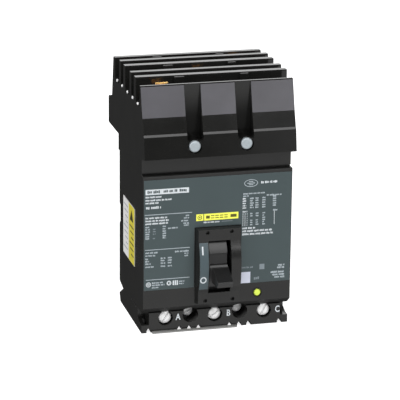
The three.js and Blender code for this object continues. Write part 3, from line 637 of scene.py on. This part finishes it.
def print_right_half():
    soft.ring(24.8, 93.4, 5.2, 2.9, 0.42)
    soft.bar(21.9, 27.7, 93.1, 93.7)
    soft.bar(23.2, 26.4, 94.4, 94.9)
    soft.bar(23.2, 26.4, 91.9, 92.4)
    white.words(32.5, 45.0, 93.5, 1.5, 201)
    soft.lines((19, 36, 85.4, 1.1, 202), (37, 48.6, 83.3, 1.1, 203), (19, 23.2, 83.6, 1.1, 204))
    for i, z in enumerate((81.6, 79.8, 78.0, 76.2, 74.5)):
        white.words(18.6, 21.4, z, 1.1, 210 + i)
        soft.lines((24.2, 27.2, z, 1.1, 220 + i), (28.4, 30.9, z, 1.1, 230 + i),
                   (33.6, 36.2, z, 1.1, 240 + i), (41.8, 44.4, z + 0.6, 1.1, 250 + i))
    for i, z in enumerate((69.8, 68.0, 66.3, 64.6, 62.9, 61.2)):
        white.bar(18.8, 19.15, z - 0.8, z + 0.7)
        white.bar(20.4, 20.75, z - 0.8, z + 0.7)
        white.bar(22.0, 22.3, z - 0.6, z + 0.5)
        if i != 2:
            soft.lines((24.6, 26.4, z, 1.0, 260 + i), (28.8, 31.0, z, 1.0, 270 + i))
        soft.words(34.0, 36.2, z, 1.0, 280 + i)
        white.bar(42.9, 43.25, z - 0.8, z + 0.8)
    white.words(18.6, 22.4, 71.6, 1.0, 290)
    soft.words(42.0, 46.4, 71.4, 1.2, 291)
    white.lines((18.6, 28.6, 58.6, 1.4, 300), (18.6, 41.6, 56.3, 1.4, 301),
                (18.6, 42.6, 53.9, 1.4, 302))
    grey.words(18.6, 28.0, 27.8, 1.2, 310)
    grey.bar(32.4, 36.2, 25.6, 29.8)
    white.bar(18.1, 18.1 + 0.01, 15.4, 15.41)     # tiny speck below the patch
    soft.lines((46.8, 52.0, 28.0, 1.4, 320), (46.2, 52.0, 26.1, 1.4, 321),
               (41.2, 52.0, 22.6, 1.4, 322), (42.4, 52.0, 20.6, 1.4, 323),
               (44.2, 52.0, 18.6, 1.4, 324))
    grey.words(28.2, 32.4, 18.8, 2.0, 330)
    patch.bar(18.1, 25.4, 15.6, 24.3)


def print_badge():
    # line under the badge
    white.words(-11.0, 1.5, 65.4, 1.1, 340)
    grey.bar(2.6, 11.0, 65.2, 65.6)
    badge.bar(-16.7, -11.3, 66.9, 72.0)
    badge.bar(-10.7, 15.4, 66.9, 72.0)
    badge_blocks.ring(-14.0, 69.45, 1.7, 1.7, 0.45)
    badge_blocks.bar(-14.5, -13.5, 68.95, 69.95)
    badge_blocks.bar(-9.2, -6.4, 68.3, 70.6)
    for x0, x1 in ((-5.6, -2.9), (-2.2, 0.5), (1.2, 3.9), (4.6, 7.3)):
        badge_blocks.bar(x0, x1, 68.3, 68.9)
        badge_blocks.bar(x0, x1, 70.0, 70.6)
    badge_blocks.bar(9.4, 14.0, 68.3, 70.6)


print_left_top()
print_left_tables()
print_left_foot()
print_right_half()
print_badge()
white.make("nameplate_print_white", "print_white")
soft.make("nameplate_print_soft", "print_soft")
grey.make("nameplate_print_grey", "print_grey")
header.make("nameplate_print_header", "nameplate_grey")
badge.make("nameplate_badge", "badge_yellow")
badge_blocks.make("nameplate_badge_blocks", "badge_dark")
patch.make("nameplate_patch", "print_lilac")

# ------------------------------------------------------------------ I and O on the position label
ARCH_R, ARCH_Y, ARCH_Z = 51.0, 41.6, 31.8    # the label's arch, about an axis along X
MARK_LIFT, MARK_THICK = 0.31, 0.05


def bend_to_arch(marks):
    for v in marks.verts:
        z = v.z * 1000.0 - SHIFT_Z
        front = abs(v.y * 1000.0 - SHIFT_Y - marks.front) < 1e-3
        radius = ARCH_R + (MARK_LIFT + (MARK_THICK if front else 0.0))
        v.y = (ARCH_Y - math.sqrt(radius ** 2 - (z - ARCH_Z) ** 2) + SHIFT_Y) / 1000.0


def position_mark_on():
    mark = Print(0.0, MARK_THICK)
    levels = [42.9 + 0.75 * i for i in range(9)]
    for y in (mark.front, mark.back):
        for z in levels:
            mark.verts += [at(-13.95, y, z), at(-12.85, y, z)]
    k = 2 * len(levels)
    for a in range(0, k - 2, 2):
        mark.faces += [(a, a + 1, a + 3, a + 2), (k + a + 1, k + a, k + a + 2, k + a + 3),
                       (a, a + 2, k + a + 2, k + a), (a + 1, k + a + 1, k + a + 3, a + 3)]
    mark.faces += [(0, k, k + 1, 1), (k - 2, k - 1, 2 * k - 1, 2 * k - 2)]
    bend_to_arch(mark)
    mark.make("position_mark_on", "print_white", slot="position_label")


def position_mark_off():
    mark = Print(0.0, MARK_THICK)
    mark.ring(-13.0, 23.4, 2.5, 2.6, 0.92, n=48)
    bend_to_arch(mark)
    mark.make("position_mark_off", "print_white", slot="position_label")


position_mark_on()
position_mark_off()

# ------------------------------------------------------------------ side sticker print
sticker_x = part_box("side_label")[0].x * 1000.0


def side_plate(name, outline, mat, lift):
    """Thin plate on the sticker, facing -X, from an outline of (y, z)."""
    verts = [at(sticker_x - lift - t, y, z) for t in (0, 0.04) for y, z in outline]
    new_object(name, verts, prism_faces(len(outline)), mat, "root")


def side_bar(name, y0, y1, z0, z1, mat, lift):
    side_plate(name, [(y0, z0), (y1, z0), (y1, z1), (y0, z1)], mat, lift)


side_bar("side_band", 27.7, 46.5, 25.2, 69.8, "side_yellow", lift=0.01)
side_plate("side_triangle", [(31.0, 58.0), (42.6, 58.0), (36.8, 66.5)], "side_dark", lift=0.06)
for i in range(6):
    side_bar("side_bar_%d" % i, 30.0, 43.6 - (i % 3) * 2.6, 53.0 - i * 4.4, 54.1 - i * 4.4,
             "side_dark", lift=0.06)
for i in range(9):
    side_bar("side_line_%d" % i, 49.5, 63.2 - (i % 4) * 2.4, 64.6 - i * 4.2, 65.3 - i * 4.2,
             "print_grey", lift=0.01)


# ------------------------------------------------------------------ pole letters
def pole_mark(letter, x):
    curve = bpy.data.curves.new("pole_mark_" + letter, "FONT")
    curve.body = letter
    curve.size = 0.0064
    curve.extrude = 0.00004
    curve.offset = 0.00014
    curve.align_x, curve.align_y = "CENTER", "CENTER"
    text = bpy.data.objects.new("tmp_" + letter, curve)
    bpy.context.scene.collection.objects.link(text)
    upright = Matrix.Rotation(math.radians(90), 4, "X")
    narrow = Matrix.Diagonal((0.82, 1.08, 1.0, 1.0))
    text.matrix_world = Matrix.Translation(at(x, 4.9, -9.2)) @ upright @ narrow
    bpy.context.view_layer.update()
    depsgraph = bpy.context.evaluated_depsgraph_get()
    mesh = bpy.data.meshes.new_from_object(text.evaluated_get(depsgraph))
    mesh.transform(text.matrix_world)
    bpy.data.objects.remove(text)
    obj = bpy.data.objects.new("pole_mark_" + letter, mesh)
    bpy.context.scene.collection.objects.link(obj)
    paint(obj, MATS["print_white"])
    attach(obj, "root")


for letter, x in (("A", -28.6), ("B", 10.3), ("C", 48.6)):
    pole_mark(letter, x)

# ------------------------------------------------------------------ floor and world
foot = at(0, 0, BASE_FOOT).z


def make_floor():
    """Pale floor, seen by the camera but with no effect on the light."""
    mat = bpy.data.materials.new("floor_pale")
    mat.use_nodes = True
    inputs = mat.node_tree.nodes["Principled BSDF"].inputs
    inputs["Base Color"].default_value = (0.7, 0.7, 0.7, 1)
    inputs["Roughness"].default_value = 0.95
    inputs["Specular IOR Level"].default_value = 0.0
    inputs["Emission Color"].default_value = (1, 1, 1, 1)
    inputs["Emission Strength"].default_value = 0.82
    mesh = bpy.data.meshes.new("floor")
    corners = [(-30, -6), (30, -6), (30, 60), (-30, 60)]
    mesh.from_pydata([(x, y, foot - 0.0004) for x, y in corners], [], [(0, 1, 2, 3)])
    floor = bpy.data.objects.new("floor", mesh)
    floor.data.materials.append(mat)
    bpy.context.scene.collection.objects.link(floor)
    floor.visible_glossy = False
    floor.visible_diffuse = False
    floor.visible_shadow = False


def make_world():
    """White surroundings, bright to the camera and dim as a light."""
    world = bpy.data.worlds.new("studio")
    bpy.context.scene.world = world
    world.use_nodes = True
    tree = world.node_tree
    background = tree.nodes["Background"]
    path = tree.nodes.new("ShaderNodeLightPath")
    strength = tree.nodes.new("ShaderNodeMix")
    strength.data_type = "FLOAT"
    strength.inputs[2].default_value = 0.05     # as a light
    strength.inputs[3].default_value = 1.1      # to the camera
    tree.links.new(path.outputs["Is Camera Ray"], strength.inputs[0])
    tree.links.new(strength.outputs[0], background.inputs["Strength"])
    background.inputs["Color"].default_value = (1, 1, 1, 1)


make_floor()
make_world()


# ------------------------------------------------------------------ lights, in metres
def axes_matrix(x, y, z, origin):
    return Matrix([(x[i], y[i], z[i], origin[i]) for i in range(3)] + [(0, 0, 0, 1)])


def softbox(name, low_left, low_right, high_left, radiance):
    """Rectangular light given by three corners, shining towards the object."""
    corner = Vector(low_left)
    x, y = Vector(low_right) - corner, Vector(high_left) - corner
    centre = corner + (x + y) / 2
    z = x.cross(y).normalized()
    if z.dot(-centre) > 0:
        z = -z                           # a light shines along its own -Z
    light = bpy.data.lights.new(name, "AREA")
    light.shape = "RECTANGLE"
    light.size, light.size_y = x.length, y.length
    light.energy = radiance * math.pi * x.length * y.length
    obj = bpy.data.objects.new(name, light)
    bpy.context.scene.collection.objects.link(obj)
    x = x.normalized()
    obj.matrix_world = axes_matrix(x, z.cross(x), z, centre)
    obj.visible_camera = False


FRONT = 2.0       # distance of the front lights


def height(degrees, start=0.11):
    """Height at the front lights of a line rising from the start height."""
    return start + FRONT * math.tan(math.radians(degrees))


# upper front softbox, from 24 degrees above level to overhead-front
box_low = height(24, start=0.06)
softbox("front_softbox", (-1.5, -FRONT, box_low), (2.3, -FRONT, box_low), (-1.5, -1.15, 2.25),
        radiance=3.1)
# upright panels in front: name, x0, x1, z0, z1, radiance. The narrow strip puts the sheen on
# the leaned faces of the housing. The dim panels lift the right-hand ends of the front faces.
for name, x0, x1, z0, z1, radiance in (
        ("strip_softbox", 0.39, 2.3, height(8.5), height(13.8), 4.3),
        ("right_panel", 0.55, 1.9, 0.0, height(8.2), 0.36),
        ("right_panel_high", 0.55, 1.9, height(14.2), height(23.4, start=0.06), 0.3)):
    softbox(name, (x0, -FRONT, z0), (x1, -FRONT, z0), (x0, -FRONT, z1), radiance=radiance)
# white card lying in front of the object, rear wall, and soft fill from the left and the right
card_z = foot - 0.003
softbox("front_card", (-1.2, -1.3, card_z), (1.6, -1.3, card_z), (-1.2, -0.0785, card_z),
        radiance=0.8)
softbox("rear_wall", (-1.8, 1.6, 0.25), (2.2, 1.6, 0.25), (-1.8, 1.6, 1.5), radiance=1.5)
softbox("left_fill", (-1.9, -0.9, 0.05), (-1.9, 0.9, 0.05), (-1.6, -0.9, 1.7), radiance=3.6)
softbox("right_fill", (2.4, -0.9, 0.2), (2.4, 0.9, 0.2), (2.2, -0.9, 1.5), radiance=0.9)


# ------------------------------------------------------------------ camera
def make_camera(target, distance, azimuth, elevation, roll):
    """Camera looking at the target from the front, angles in degrees."""
    data = bpy.data.cameras.new("camera")
    camera = bpy.data.objects.new("camera", data)
    bpy.context.scene.collection.objects.link(camera)
    data.sensor_width = 36.0
    data.lens = 198.828
    data.clip_end = 200.0
    az, el, tilt = math.radians(azimuth), math.radians(elevation), math.radians(roll)
    view = Vector((math.sin(az) * math.cos(el), math.cos(az) * math.cos(el), -math.sin(el)))
    level = Vector((math.cos(az), -math.sin(az), 0.0))
    up = level.cross(view)
    camera.matrix_world = axes_matrix(level * math.cos(tilt) + up * math.sin(tilt),
                                      up * math.cos(tilt) - level * math.sin(tilt),
                                      -view, target - view * distance)
    bpy.context.scene.camera = camera


make_camera(at(-3.44, 40.0, 69.92), distance=1.6641, azimuth=14.64, elevation=17.44, roll=0.6)
bpy.context.scene.view_settings.view_transform = "Standard"

bpy.context.view_layer.update()
